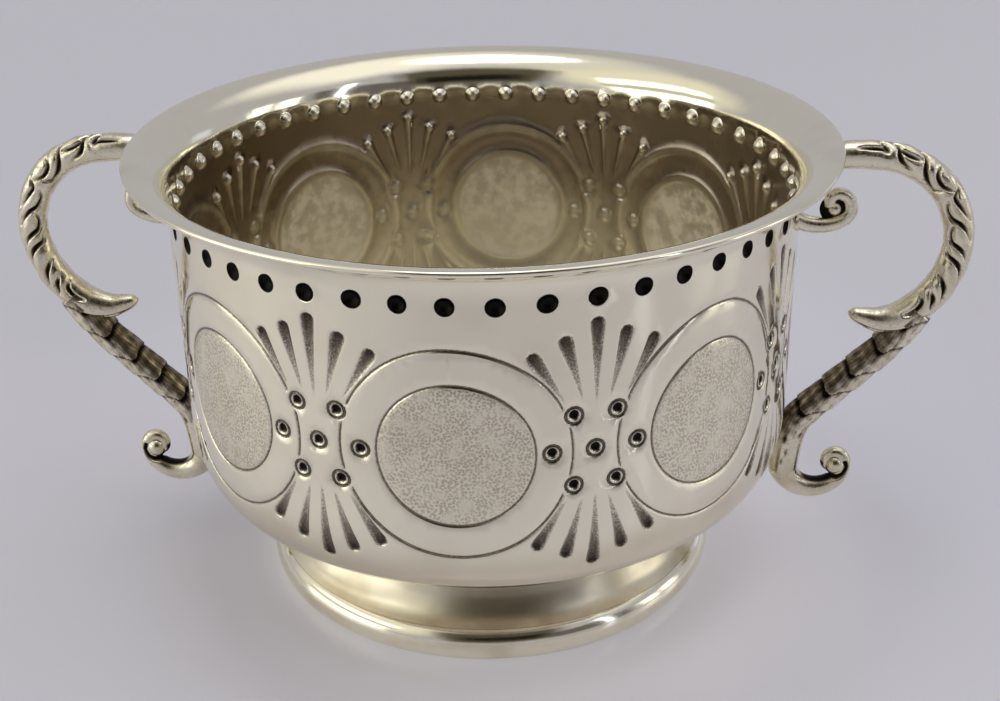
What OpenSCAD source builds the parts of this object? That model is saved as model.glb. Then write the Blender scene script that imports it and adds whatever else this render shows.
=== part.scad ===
// Two-handled silver caudle cup: a raised and chased bowl on a moulded foot,
// with a pair of cast scroll handles. The cup stands on the XY plane, its axis
// is Z, the handles lie along X, and one roundel faces -Y.

/* [Bowl] */
// Outside radius of the straight wall
bowl_radius = 44.4; // [40:0.1:52]
// Height of the cup, from the table to the top of the lip
cup_height = 65.5; // [61:0.1:76]
// Thickness of the raised silver sheet
sheet = 0.8; // [0.6:0.05:1.2]
// Height of the bowl's flat underside above the table
floor_height = 14.8; // [13:0.1:17]
// Radius of the flat disc under the bowl
flat_radius = 30; // [26:0.1:34]
// Height of the rounded corner between the flat bottom and the wall
corner_height = 14.2; // [10:0.1:17]

/* [Lip] */
// How far the lip turns out past the wall
lip_reach = 5.6; // [3:0.1:8]
// Height of the flare, from the top of the wall to the underside of the lip
lip_rise = 5.2; // [3:0.1:6]

/* [Chased ornament] */
// Number of roundels, with a fan of flutes between each pair
roundels = 8; // [6:1:8]
// Height of the roundels' centres above the table
roundel_height = 38.7; // [36:0.1:41]
// Radius of the outer line of a roundel
roundel_outer = 14.5; // [11:0.1:14.8]
// Radius of the line round the matted centre of a roundel
roundel_inner = 9.8; // [6:0.1:10.5]
// Width of the chased lines
line_width = 0.5; // [0.3:0.05:0.8]
// Depth of the chased lines and rings
line_depth = 0.3; // [0.15:0.05:0.4]
// Radius of the hexagon of ring punches in a fan
punch_circle = 5.6; // [4.5:0.1:6]
// Outside radius of a ring punch
punch_radius = 1.2; // [0.8:0.05:1.4]
// Distance from a fan's centre to the outer end of its middle flutes
flute_reach = 17.3; // [13:0.1:17.5]
// How much shorter the side flutes are than the middle one
flute_step = 1.5; // [0:0.1:3]
// Width of a flute at its outer end
flute_width = 1.8; // [1.2:0.1:2.2]
// Depth of a flute at its outer end
flute_depth = 0.45; // [0.2:0.05:0.5]
// Angle between neighbouring flutes of a fan
flute_spread = 14; // [8:0.5:15]
// Number of punched beads under the lip
beads = 48; // [32:1:52]
// Width of a bead's dimple on the outside
bead_width = 2.4; // [1.6:0.1:2.8]
// Depth of a bead's dimple
bead_depth = 0.5; // [0.3:0.05:0.55]
// Distance from the top of the lip down to the beads
bead_drop = 6.7; // [6.3:0.1:8]

/* [Foot] */
// Largest radius of the foot, at its base roll
foot_radius = 33.9; // [32:0.1:40]
// Radius of the foot's neck where it meets the bowl
neck_radius = 29.6; // [27:0.1:31]
// Height of the base roll
roll_height = 4; // [2.5:0.1:5]
// How far the base roll stands out past the collar that it carries
roll_reach = 1.4; // [0.8:0.1:2]
// Width of the base roll, from its bore to its largest radius
roll_width = 3.6; // [3:0.1:5]
// Thickness of the collar's metal
collar_wall = 1; // [0.7:0.05:1.4]

/* [Handles] */
// Radius of the finger loop, to the middle of the arm
loop_radius = 12.3; // [10:0.1:14]
// Straight run of the arm past the lip before the loop starts
arm_run = 4.6; // [3:0.1:8]
// Radius of the arm under the lip
arm_root = 1.75; // [1.3:0.05:2.2]
// Radius of the arm at the bottom of the loop
arm_swell = 2.2; // [1.6:0.05:2.6]
// Length of the free leaf that ends the arm
leaf_length = 7.3; // [4:0.1:9]
// Radius of the scaled stem
stem_radius = 2.3; // [1.6:0.05:2.6]
// Height at which the stem meets the wall
seat_height = 21; // [19:0.1:25]
// Depth of the flat filed on the stem where it meets the wall
seat_flat = 0.4; // [0.2:0.05:0.8]
// Height of the ball in the stem's scrolled end
volute_height = 13.9; // [13:0.1:15]
// Distance from the wall to the ball in the stem's scrolled end
volute_reach = 8.4; // [7:0.1:10]
// Radius of the ball in the stem's scrolled end
volute_ball = 1.6; // [1.2:0.05:2]
// Distance from the top of the lip down to the ball of the upper scroll
scroll_drop = 10.3; // [9.5:0.1:13]
// Distance from the wall to the ball of the upper scroll
scroll_reach = 5.9; // [5:0.1:8]
// Radius of the upper scroll where it leaves the wall
scroll_radius = 1.3; // [0.9:0.05:1.6]
// Radius of the ball of the upper scroll
scroll_ball = 1.15; // [0.8:0.05:1.5]

/* [Joints] */
// Gap that the solder fills between two pieces
solder_gap = 0.05; // [0.02:0.01:0.15]

/* [Hidden] */
$fn = 96;

silver = [0.78, 0.77, 0.73];
old_silver = [0.62, 0.60, 0.54];

// Bowl: derived sizes
rim_radius = bowl_radius + lip_reach;
wall_top = cup_height - sheet - lip_rise;
edge_radius = sheet / 2;
curve_steps = 12;
corner_power = 3;

// Bowl: the underside and outside of the sheet, from the axis to the lip's edge
function corner_point(t) = [
    flat_radius + (bowl_radius - flat_radius) * pow(sin(t), 2 / corner_power),
    floor_height + corner_height * (1 - pow(cos(t), 2 / corner_power))];
function lip_point(t) = [
    bowl_radius + (lip_reach - edge_radius) * (1 - cos(t)),
    wall_top + lip_rise * sin(t)];
outside_line = concat(
    [[0, floor_height]],
    [for (k = [0:curve_steps]) corner_point(90 * k / curve_steps)],
    [for (k = [0:curve_steps]) lip_point(90 * k / curve_steps)]);

// A line moved sideways to its left by a distance, point by point
function unit(v) = v / norm(v);
function left_of(v) = [-v[1], v[0]];
function travel(line, k) =
    unit(line[min(k + 1, len(line) - 1)] - line[max(k - 1, 0)]);
function side_line(line, distance) = [for (k = [0:len(line) - 1])
    [max(0, (line[k] + distance * left_of(travel(line, k)))[0]),
        (line[k] + distance * left_of(travel(line, k)))[1]]];
function reversed(line) = [for (k = [len(line) - 1:-1:0]) line[k]];
function mix(a, b, t) = a + (b - a) * t;

// The space inside the bowl's outer face, moved outward by a distance
module bowl_space(outward) {
    line = side_line(outside_line, -outward);
    rotate_extrude()
        polygon(concat([[0, line[0][1]]], line, [[0, line[len(line) - 1][1]]]));
}

module raised_sheet() {
    inside_line = side_line(outside_line, sheet);
    middle = [rim_radius - edge_radius, cup_height - edge_radius];
    edge = [for (a = [-60:30:60]) middle + edge_radius * [cos(a), sin(a)]];
    rotate_extrude()
        polygon(concat(outside_line, edge, reversed(inside_line)));
}

// Beads: a row of dimples driven in with a round punch
bead_ball = (pow(bead_width / 2, 2) + pow(bead_depth, 2)) / (2 * bead_depth);
bead_height = cup_height - bead_drop;

module bead_row() {
    for (k = [0:beads - 1])
        rotate([0, 0, k * 360 / beads])
            translate([bowl_radius + bead_ball - bead_depth, 0, bead_height])
                sphere(r = bead_ball, $fn = 32);
}

// Roundels and ring punches: lines of one depth cut by a round tool
roundel_step = 360 / roundels;
tool_lead = 2 * line_depth;
function degrees_along(distance) = distance / bowl_radius * 180 / PI;
function wall_bulge(radius) = bowl_radius - sqrt(pow(bowl_radius, 2) - pow(radius, 2));

module ring_tool(angle, height, radius, width) {
    reach = wall_bulge(radius + width) + tool_lead;
    rotate([0, 0, angle])
        translate([bowl_radius, 0, height])
            rotate([0, 90, 0])
                difference() {
                    cylinder(r = radius + width / 2, h = 2 * reach, center = true, $fn = 64);
                    cylinder(r = radius - width / 2, h = 3 * reach, center = true, $fn = 64);
                }
}

module chased_lines() {
    punch_line = punch_radius / 3;
    punch_spots = concat([[0, 0]],
        [for (a = [0:60:300]) punch_circle * [cos(a), sin(a)]]);
    difference() {
        for (k = [0:roundels - 1]) {
            for (radius = [roundel_outer, roundel_inner])
                ring_tool(k * roundel_step, roundel_height, radius, line_width);
            for (spot = punch_spots)
                ring_tool((k + 0.5) * roundel_step + degrees_along(spot[0]),
                    roundel_height + spot[1], punch_radius - punch_line / 2, punch_line);
        }
        bowl_space(-line_depth);
    }
}

// Flutes: a round-nosed punch, drawn outward from a fan's centre and driven
// in at its end; five rise above the ring punches and five hang below them
flute_count = 5;
flute_start = punch_circle + punch_radius / 2;
flute_ball = (pow(flute_width / 2, 2) + pow(flute_depth, 2)) / (2 * flute_depth);
flute_nose = flute_ball / 4;
function wall_radius(height) =
    let (up = (height - floor_height) / corner_height)
    up >= 1 ? bowl_radius
        : flat_radius + (bowl_radius - flat_radius) * pow(1 - pow(1 - up, corner_power), 1 / corner_power);
function wall_place(spot, ball) =
    let (a = degrees_along(spot[0]), height = roundel_height + spot[1])
    let (r = wall_radius(height) + ball * (1 - flute_depth / flute_ball))
    [r * cos(a), r * sin(a), height];

module flute(from, to) {
    way = to - from;
    translate(from)
        rotate([0, acos(way[2] / norm(way)), atan2(way[1], way[0])])
            cylinder(r1 = flute_nose, r2 = flute_ball, h = norm(way), $fn = 24);
}

module flutes() {
    half = (flute_count - 1) / 2;
    for (k = [0:roundels - 1], side = [-1, 1], n = [-half:half]) {
        lean = n * flute_spread;
        way = [sin(lean), side * cos(lean)];
        start = flute_start + abs(n) * flute_width / 3;
        end = flute_reach - (n == 0 ? 0 : flute_step);
        rotate([0, 0, (k + 0.5) * roundel_step])
            flute(wall_place(start * way, flute_nose), wall_place(end * way, flute_ball));
    }
}

module cup_bowl() {
    color(silver)
        difference() {
            raised_sheet();
            bead_row();
            chased_lines();
            flutes();
        }
}

// Foot: a hollow-sided collar that stands on a rounded base wire
step_radius = foot_radius - roll_reach;
collar_foot = roll_height + solder_gap;
collar_top = floor_height - solder_gap;
hollow_end = 70;
roll_end = -70;

function hollow_point(t) = [
    neck_radius + (step_radius - neck_radius) * (1 - cos(t)) / (1 - cos(hollow_end)),
    collar_top - (collar_top - collar_foot) * sin(t) / sin(hollow_end)];

module foot_collar() {
    hollow = [for (k = [0:curve_steps]) hollow_point(hollow_end * k / curve_steps)];
    bore = [for (p = hollow) p - [collar_wall, 0]];
    color(silver)
        rotate_extrude()
            polygon(concat(hollow, reversed(bore)));
}

module foot_wire() {
    bulge = [for (k = [0:curve_steps])
        let (a = mix(90, roll_end, k / curve_steps))
        let (up = (sin(a) - sin(roll_end)) / (1 - sin(roll_end)))
        [step_radius + roll_reach * cos(a), roll_height * up]];
    bore = foot_radius - roll_width;
    color(silver)
        rotate_extrude()
            polygon(concat([[bore, roll_height]], bulge, [[bore, 0]]));
}

// Handles: tubes of changing radius along a line of [x, z, radius] points
tube_sides = 12;

function curve_at(a, b, c, d, t) = 0.5 * (2 * b + (c - a) * t
    + (2 * a - 5 * b + 4 * c - d) * t * t + (3 * b - a - 3 * c + d) * t * t * t);
function smooth(line, steps) = concat(
    [for (k = [0:len(line) - 2], j = [0:steps - 1])
        curve_at(line[max(k - 1, 0)], line[k], line[k + 1], line[min(k + 2, len(line) - 1)], j / steps)],
    [line[len(line) - 1]]);
function flat(p) = [p[0], p[1]];

module tube(line, grow = 0) {
    last = len(line) - 1;
    places = [for (p = line) flat(p)];
    points = [for (k = [0:last], s = [0:tube_sides - 1])
        let (a = s * 360 / tube_sides)
        let (out = left_of(travel(places, k)) * cos(a))
        let (r = line[k][2] + grow)
        [line[k][0] + r * out[0], r * sin(a), line[k][1] + r * out[1]]];
    sides = [for (k = [0:last - 1], s = [0:tube_sides - 1])
        let (n = (s + 1) % tube_sides, low = k * tube_sides, high = low + tube_sides)
        each [[low + s, high + n, high + s], [low + s, low + n, high + n]]];
    caps = [[for (s = [tube_sides - 1:-1:0]) s],
        [for (s = [0:tube_sides - 1]) last * tube_sides + s]];
    polyhedron(points, concat(sides, caps));
}

// Arm: it runs out under the lip, round the finger loop and ends in a leaf
arm_height = cup_height - sheet - solder_gap - arm_root;
loop_x = rim_radius + arm_run;
loop_z = arm_height - loop_radius;
low_radius = loop_radius + 1;
leaf_angle = -60;
leaf_sag = 0.9;
leaf_tip = 0.3;

function loop_point(a) = a >= 0
    ? [loop_x + loop_radius * cos(a), loop_z + loop_radius * sin(a)]
    : [loop_x + loop_radius + low_radius * (cos(a) - 1), loop_z + low_radius * sin(a)];
function arm_thick(a) = mix(arm_root, arm_swell, (90 - a) / (90 - leaf_angle));
function point3(p, r) = [p[0], p[1], r];

leaf_base = loop_point(leaf_angle);
arm_line = smooth(concat(
    [[bowl_radius + sheet, arm_height, arm_root], [rim_radius, arm_height, arm_root]],
    [for (a = [90:-15:leaf_angle]) point3(loop_point(a), arm_thick(a))],
    [point3(leaf_base + [-0.4 * leaf_length, -leaf_sag], 0.85 * arm_swell),
        point3(leaf_base + [-0.75 * leaf_length, -leaf_sag / 2], 0.5 * arm_swell),
        point3(leaf_base + [-leaf_length, 0], leaf_tip)]), 3);

module leaf_arm() {
    color(old_silver)
        difference() {
            tube(arm_line);
            bowl_space(solder_gap);
        }
}

// Scrolled end: a shallow bend under a ball, then a curl over it
curl_rise = 1.15;
function scroll_line(ball, width, drop, curl, r_start, r_end) =
    let (middle = ball + [curl - width / 2, 0])
    let (bend = [for (a = [180:20:360]) middle + [width / 2 * cos(a), drop * sin(a)]])
    let (over = [for (a = [35:35:140]) ball + curl * [cos(a), curl_rise * sin(a)]])
    let (line = concat(bend, over))
    [for (k = [0:len(line) - 1]) point3(line[k], mix(r_start, r_end, k / (len(line) - 1)))];

module ball_at(place, radius) {
    translate([place[0], 0, place[1]])
        sphere(r = radius, $fn = 48);
}

// Stem: it springs from under the leaf and scrolls up below the bowl
stem_angle = -46;
stem_lead = 1.2;
stem_bow = 0.8;
bend_width = 9.4;
bend_drop = 4;
curl_radius = 1.7;
curl_end = 1;
stem_top = loop_point(stem_angle) - [0, stem_lead];
seat = [bowl_radius + stem_radius - seat_flat, seat_height];
volute = [bowl_radius + volute_reach, volute_height];
stem_line = smooth(concat(
    [point3(stem_top, stem_radius),
        point3(mix(stem_top, seat, 0.3) + [stem_bow, -stem_bow] / 2, stem_radius),
        point3(mix(stem_top, seat, 0.75), stem_radius),
        point3(seat, stem_radius)],
    scroll_line(volute, bend_width, bend_drop, curl_radius, 0.95 * stem_radius, curl_end)), 3);

module scaled_stem() {
    color(old_silver)
        difference() {
            union() {
                tube(stem_line);
                ball_at(volute, volute_ball);
            }
            tube(arm_line, solder_gap);
            bowl_space(solder_gap);
        }
}

// Upper scroll: a short spur from the wall under the lip
spur_width = 8.6;
spur_drop = 2.5;
spur_curl = 1.6;
spur_end = 0.8;
spur = [bowl_radius + scroll_reach, cup_height - scroll_drop];
spur_line = smooth(
    scroll_line(spur, spur_width, spur_drop, spur_curl, scroll_radius, spur_end), 2);

module upper_scroll() {
    color(old_silver)
        difference() {
            union() {
                tube(spur_line);
                ball_at(spur, scroll_ball);
            }
            bowl_space(solder_gap);
        }
}

module left_side() {
    mirror([1, 0, 0])
        children();
}

cup_bowl();
foot_collar();
foot_wire();
left_side() leaf_arm();  // left_leaf_arm
left_side() scaled_stem();  // left_scaled_stem
left_side() upper_scroll();  // left_upper_scroll
leaf_arm();  // right_leaf_arm
scaled_stem();  // right_scaled_stem
upper_scroll();  // right_upper_scroll
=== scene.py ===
import math

import bpy
import numpy as np
from mathutils import Matrix, Vector
from mathutils.geometry import delaunay_2d_cdt
from mathutils.kdtree import KDTree


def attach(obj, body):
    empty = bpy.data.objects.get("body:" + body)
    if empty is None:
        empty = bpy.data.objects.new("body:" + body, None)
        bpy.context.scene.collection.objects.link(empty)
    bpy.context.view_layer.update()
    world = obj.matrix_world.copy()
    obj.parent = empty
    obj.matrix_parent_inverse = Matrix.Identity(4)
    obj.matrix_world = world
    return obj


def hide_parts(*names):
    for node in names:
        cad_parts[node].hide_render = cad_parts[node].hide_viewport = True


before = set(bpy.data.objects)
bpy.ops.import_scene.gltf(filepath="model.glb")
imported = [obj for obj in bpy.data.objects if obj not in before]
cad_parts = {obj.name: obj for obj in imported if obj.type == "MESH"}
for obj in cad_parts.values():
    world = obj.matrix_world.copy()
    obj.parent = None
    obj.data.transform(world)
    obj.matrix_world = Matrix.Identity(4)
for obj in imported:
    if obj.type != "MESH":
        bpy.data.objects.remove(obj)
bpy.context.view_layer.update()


# Foot wire: the rounded ring that the cup stands on. It is thick silver wire,
# drawn, bent round and soldered under the collar, then polished bright. Sizes
# here and below are in mm, angles in degrees.

MM = 0.001
solder_gap = 0.05
foot_radius = 33.9
roll_round, roll_middle = 2.94, 2.0
roll_width, roll_height = 3.6, 4.0
roll_crease, roll_shelf, bore_edge = 57, 31.8, 0.2
ring_sides = 224


def turned(name, profile):
    """A ring turned from a closed profile of (radius, height) points in mm."""
    bpy.ops.object.select_all(action="DESELECT")
    radius, height = profile[0]
    bpy.ops.mesh.primitive_circle_add(vertices=ring_sides, radius=radius * MM)
    piece = bpy.context.object
    piece.name = piece.data.name = name
    bpy.ops.object.mode_set(mode="EDIT")
    bpy.ops.mesh.select_all(action="SELECT")
    bpy.ops.transform.translate(value=(0, 0, height * MM))
    for wider, higher in profile[1:] + profile[:1]:
        step = (0, 0, (higher - height) * MM)
        bpy.ops.mesh.extrude_region_move(TRANSFORM_OT_translate={"value": step})
        grow = wider / radius
        bpy.ops.transform.resize(value=(grow, grow, 1), center_override=(0, 0, 0))
        radius, height = wider, higher
    bpy.ops.mesh.select_all(action="SELECT")
    bpy.ops.mesh.remove_doubles(threshold=1e-7)
    bpy.ops.mesh.normals_make_consistent(inside=False)
    bpy.ops.object.mode_set(mode="OBJECT")
    bpy.ops.object.shade_smooth_by_angle(angle=math.radians(50))
    return piece


def on_arc(middle, reach, start, end, steps):
    """Points on an ellipse about middle, from one angle to another."""
    turn = np.radians(np.linspace(start, end, steps + 1))
    x = middle[0] + reach[0] * np.cos(turn)
    z = middle[1] + reach[1] * np.sin(turn)
    return list(zip(x.tolist(), z.tolist()))


class Wire:
    """A socket in a material, so that sums on it are written as plain sums."""

    def __init__(self, tree, socket=None):
        self.tree, self.socket = tree, socket

    def node(self, kind, settings=None, sockets=None, output=0):
        made = self.tree.nodes.new(kind)
        for name, value in (settings or {}).items():
            setattr(made, name, value)
        for place, value in (sockets or {}).items():
            if isinstance(value, Wire):
                self.tree.links.new(value.socket, made.inputs[place])
            else:
                made.inputs[place].default_value = value
        return Wire(self.tree, made.outputs[output] if made.outputs else None)

    def sums(self, operation, first, second=0.0):
        return self.node("ShaderNodeMath", {"operation": operation}, {0: first, 1: second})

    def __add__(self, other):
        return self.sums("ADD", self, other)

    def __sub__(self, other):
        return self.sums("SUBTRACT", self, other)

    def __rsub__(self, other):
        return self.sums("SUBTRACT", other, self)

    def __mul__(self, other):
        return self.sums("MULTIPLY", self, other)

    __radd__, __rmul__ = __add__, __mul__

    def between(self, low, high):
        """0 below low, 1 above high, smooth in between."""
        settings = {"interpolation_type": "SMOOTHSTEP"}
        return self.node("ShaderNodeMapRange", settings, {0: self, 1: low, 2: high})

    def tint(self, low, high):
        """A colour from low where this is 0 to high where it is 1."""
        return self.node("ShaderNodeMix", {"data_type": "RGBA"}, {0: self, 6: low, 7: high}, 2)

    def noise(self, per_mm, detail):
        """Soft clouds, so many to the mm."""
        sockets = {"Vector": self, "Scale": per_mm / MM, "Detail": detail}
        return self.node("ShaderNodeTexNoise", {}, sockets)

    def stretched(self, x, y, z):
        """The same place with its axes stretched, for marks that run one way."""
        return self.node("ShaderNodeMapping", {}, {"Vector": self, "Scale": (x, y, z)})


def finish(name):
    """A new empty material, as a Wire to hang nodes on, and its place on the object."""
    material = bpy.data.materials.new(name)
    material.use_nodes = True
    material.node_tree.nodes.clear()
    wire = Wire(material.node_tree)
    return material, wire, wire.node("ShaderNodeTexCoord", output="Object")


def surface(wire, colour, roughness, height, lift, metallic=1.0, glow=(0, 0, 0, 1)):
    """Ends a material: height, in mm, is bumped by its node at the given strength."""
    bump = wire.node("ShaderNodeBump", {}, {"Strength": lift, "Distance": MM, "Height": height})
    sockets = {"Base Color": colour, "Roughness": roughness, "Metallic": metallic, "Normal": bump}
    sockets.update({"Emission Color": glow, "Emission Strength": 1.0})
    shader = wire.node("ShaderNodeBsdfPrincipled", {}, sockets)
    wire.node("ShaderNodeOutputMaterial", {}, {"Surface": shader})


SILVER = (0.92, 0.875, 0.715, 1)
DULL_SILVER = (0.76, 0.68, 0.53, 1)
DARK = (0.012, 0.01, 0.009, 1)

bright_silver, wire, place = finish("bright_silver")
handling = place.noise(0.11, 4)
scratches = place.stretched(1, 1, 5).noise(1.4, 2)
surface(
    wire,
    colour=handling.between(0.45, 0.8).tint(SILVER, DULL_SILVER),
    roughness=0.12 + handling.between(0.4, 0.8) * 0.06 + scratches.between(0.55, 0.75) * 0.04,
    height=handling * 0.14 + scratches * 0.002,
    lift=0.35,
)

roll_bottom = math.degrees(math.asin(roll_middle / roll_round))
roll_centre = (foot_radius - roll_round, roll_middle)
roll = on_arc(roll_centre, (roll_round, roll_round), roll_crease, -roll_bottom, steps=26)
bore = foot_radius - roll_width
bore_line = [(bore + bore_edge, 0.0), (bore, bore_edge), (bore, roll_height), (roll_shelf, roll_height)]
foot_wire = turned("polished_foot_wire", roll + bore_line)
foot_wire.data.materials.append(bright_silver)
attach(foot_wire, "root")
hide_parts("foot_wire")


# Foot collar: the hollow-sided ring between the bowl and its base wire. It is
# one strip of sheet, seamed, hammered into a hollow curve and soldered. It is
# less rubbed than the wire, so duller and browner.

floor_height, neck_radius, collar_wall = 14.8, 28.7, 1.0
collar_top = floor_height - solder_gap
flange_bore, lining_end = 30.6, 5.1


def smooth(line, steps):
    """A curve through rows of numbers, with steps points to each stretch."""
    line = np.array(line, float)
    out = []
    for k in range(len(line) - 1):
        a, b = line[max(k - 1, 0)], line[k]
        c, d = line[k + 1], line[min(k + 2, len(line) - 1)]
        for t in np.arange(steps) / steps:
            place = 2 * b + (c - a) * t
            place = place + (2 * a - 5 * b + 4 * c - d) * t ** 2
            place = place + (3 * b - a - 3 * c + d) * t ** 3
            out.append(0.5 * place)
    return np.array(out + [line[-1]])


hollow = smooth([
    (neck_radius, collar_top), (28.75, 12.5), (28.95, 10.8), (29.22, 9.5), (29.57, 8.55),
    (30.04, 7.51), (30.9, 6.07), (31.63, 5.23), (32.54, 4.5),
], steps=4).tolist()
flange = [(r, roll_height + solder_gap) for r in (roll_shelf, flange_bore)]
lining = [(r - collar_wall, z) for r, z in reversed(hollow) if z > lining_end]
foot_collar = turned("polished_foot_collar", hollow + flange + lining)

hammered_silver, wire, place = finish("hammered_silver")
handling = place.noise(0.12, 3)
hammering = place.noise(0.45, 2)
worn_silver, brown_silver = (0.82, 0.76, 0.6, 1), (0.62, 0.54, 0.38, 1)
surface(
    wire,
    colour=handling.between(0.35, 0.7).tint(worn_silver, brown_silver),
    roughness=0.28 + handling.between(0.4, 0.8) * 0.08,
    height=handling * 0.14 + hammering * 0.03,
    lift=0.35,
)
foot_collar.data.materials.append(hammered_silver)
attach(foot_collar, "root")
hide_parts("foot_collar")


# Bowl: one sheet of silver, raised to shape and chased from outside over a bed
# of pitch, so that each bead, flute and line stands up on the inside. One
# sixteenth is drawn flat, with its points set along the cuts, and raised.

wall_radius, cup_height, sheet = 44.4, 65.5, 0.8
flat_radius, corner_height, corner_power = 30.0, 14.2, 3
lip_reach, lip_rise = 5.6, 5.2
edge = sheet / 2
lip_run = lip_reach - edge
wall_top = cup_height - sheet - lip_rise
floor_rings = (0.0, 8.0, 18.0, 26.0)

# The flat sixteenth runs from the middle of a roundel to the middle of a fan of
# flutes: s is mm round the wall, z is mm above the table.
roundels, columns = 8, 18
half = round(math.pi * wall_radius / roundels, 9)
chased_low, middle_height, chased_high = 20.2, 38.7, 60.9
roundel, fan = (0.0, middle_height), (half, middle_height)
roundel_lines, line_stop = (14.5, 9.8), 0.2
line_width, line_depth, line_stain = 0.26, 0.2, 0.78
bead_height, bead_radius, bead_depth, bead_rim = 58.8, 1.2, 0.72, 0.06
beads = [(half * k / 3, bead_height) for k in range(4)]
punch_radius, punch_reach, knob_height = 1.2, 5.6, 0.45
ring_radius, ring_half, ring_depth, ring_stain = 1.12, 0.3, 0.22, 0.84
pit_radius, pit_rise, pit_depth, band_stain = 0.78, 0.13, 0.4, 0.24
punches = [fan]
for lean in (-60, 0, 60):
    turn = math.radians(lean)
    punches.append((half - punch_reach * math.cos(turn), middle_height + punch_reach * math.sin(turn)))
flutes = [
    (side, math.radians(lean), start, end)
    for side in (1, -1)
    for lean, start, end in ((0, 6.1, 17.6), (14.3, 6.9, 16.2), (30, 7.7, 16.0))
]
flute_tip, flute_end, flute_depth, flute_round = 0.14, 1.18, 0.5, 1.1
ridge_share, ridge_more = 0.57, 0.17
knob_back, knob_radius, tip_height = 0.9, 0.92, 0.95
inside_swell = 0.45


def away(s, z, spot):
    """How far places on the sixteenth lie from a spot on it."""
    return np.hypot(s - spot[0], z - spot[1])


def dish(share):
    """A round-bottomed hollow, 1 deep in the middle and 0 from share 1 out."""
    return 1 - np.clip(share, 0, 1) ** 2


def along_flute(s, z, flute):
    """How far along a flute, from 0 to 1 at its end, and how far across it."""
    side, lean, start, end = flute
    way = np.array([-math.sin(lean), side * math.cos(lean)])
    along = (s - fan[0]) * way[0] + (z - fan[1]) * way[1]
    across = (s - fan[0]) * -way[1] + (z - fan[1]) * way[0]
    return (along - start) / (end - start), np.abs(across)


def flute_top(flute):
    """The middle of the round end of a flute, where it is deepest."""
    side, lean, start, end = flute
    along = end - knob_back
    return fan[0] - math.sin(lean) * along, fan[1] + side * math.cos(lean) * along


def flute_width(share):
    """Half the width of a flute, some share of the way along it."""
    return flute_tip + (flute_end - flute_tip) * np.clip(share, 0, 1) ** 1.15


def chasing(s, z, swell=0.0):
    """Depth of the cuts in mm, and their darkness, at places on the flat sixteenth.
    With swell, the relief on the inside, which is that much wider and softer."""
    depth, dark = np.zeros_like(s), np.zeros_like(s)
    clear = np.min([away(s, z, p) for p in punches[1:]], axis=0) - punch_radius
    for radius in roundel_lines:
        off = np.abs(away(s, z, roundel) - radius)
        cut = dish(off / (line_width + 2 * swell)) * np.clip((clear - line_stop) / 0.3, 0, 1)
        depth = np.maximum(depth, (line_depth + swell / 2) * cut)
        dark = np.maximum(dark, line_stain * np.clip((cut - 0.15) / 0.5, 0, 1))
    for spot in punches:
        r = away(s, z, spot)
        if swell:
            depth = np.maximum(depth, knob_height * dish(r / (punch_radius + swell / 2)))
            continue
        ring = dish(np.abs(r - ring_radius) / ring_half)
        pit = dish(away(s, z, (spot[0], spot[1] + pit_rise)) / pit_radius)
        depth = np.maximum(depth, np.maximum(ring_depth * ring, pit_depth * pit ** 0.7))
        stained = np.maximum(np.clip(2 * ring, 0, ring_stain), np.clip(2.4 * pit, 0, 1))
        dark = np.maximum(dark, np.maximum(stained, band_stain * (r < ring_radius)))
    for flute in flutes:
        share, across = along_flute(s, z, flute)
        tail = 1 - flute_round / (flute[3] - flute[2])
        stop = np.clip((share - tail) / (1 - tail), 0, None)
        wide = ridge_share * flute_width(share) + ridge_more if swell else flute_width(share)
        cut = dish(np.hypot(across / wide, stop)) * np.clip(share / 0.05, 0, 1)
        run = np.clip(share, 0, 1) ** 1.3
        depth = np.maximum(depth, (flute_depth + swell / 2) * (0.12 + 0.88 * run) * cut)
        dark = np.maximum(dark, np.clip(2.4 * cut, 0, 1) * (0.44 + 0.54 * run))
        if swell:
            knob = dish(away(s, z, flute_top(flute)) / knob_radius)
            depth = np.maximum(depth, tip_height * knob ** 0.6)
    for spot in beads:
        share = away(s, z, spot) / (bead_radius + 0.2 * swell)
        cap = np.sqrt(np.clip(1.35 - share ** 2, 0, None)) - math.sqrt(0.35)
        cap = np.clip(cap / (math.sqrt(1.35) - math.sqrt(0.35)), 0, 1)
        depth = np.maximum(depth, (bead_depth + 0.6 * swell) * cap)
        dark = np.maximum(dark, np.clip((1.07 - share) / 0.06, 0, 1))
        if not swell:
            depth = depth - bead_rim * np.exp(-((share - 1.16) / 0.08) ** 2)
    return depth, dark


def ring_of_points(spot, radius, pitch):
    """Points round a spot, half a ring where it lies on the sixteenth's edge."""
    start, sweep = 0, 360
    if spot[0] == 0 or spot[0] == half:
        start, sweep = (-90 if spot[0] == 0 else 90), 180
    count = max(4, round(math.radians(sweep) * radius / pitch))
    turn = np.radians(start + sweep * np.arange(count + 1) / count)
    s = np.clip(np.round(spot[0] + radius * np.cos(turn), 9), 0, half)
    return list(zip(s.tolist(), (spot[1] + radius * np.sin(turn)).tolist()))


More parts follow.
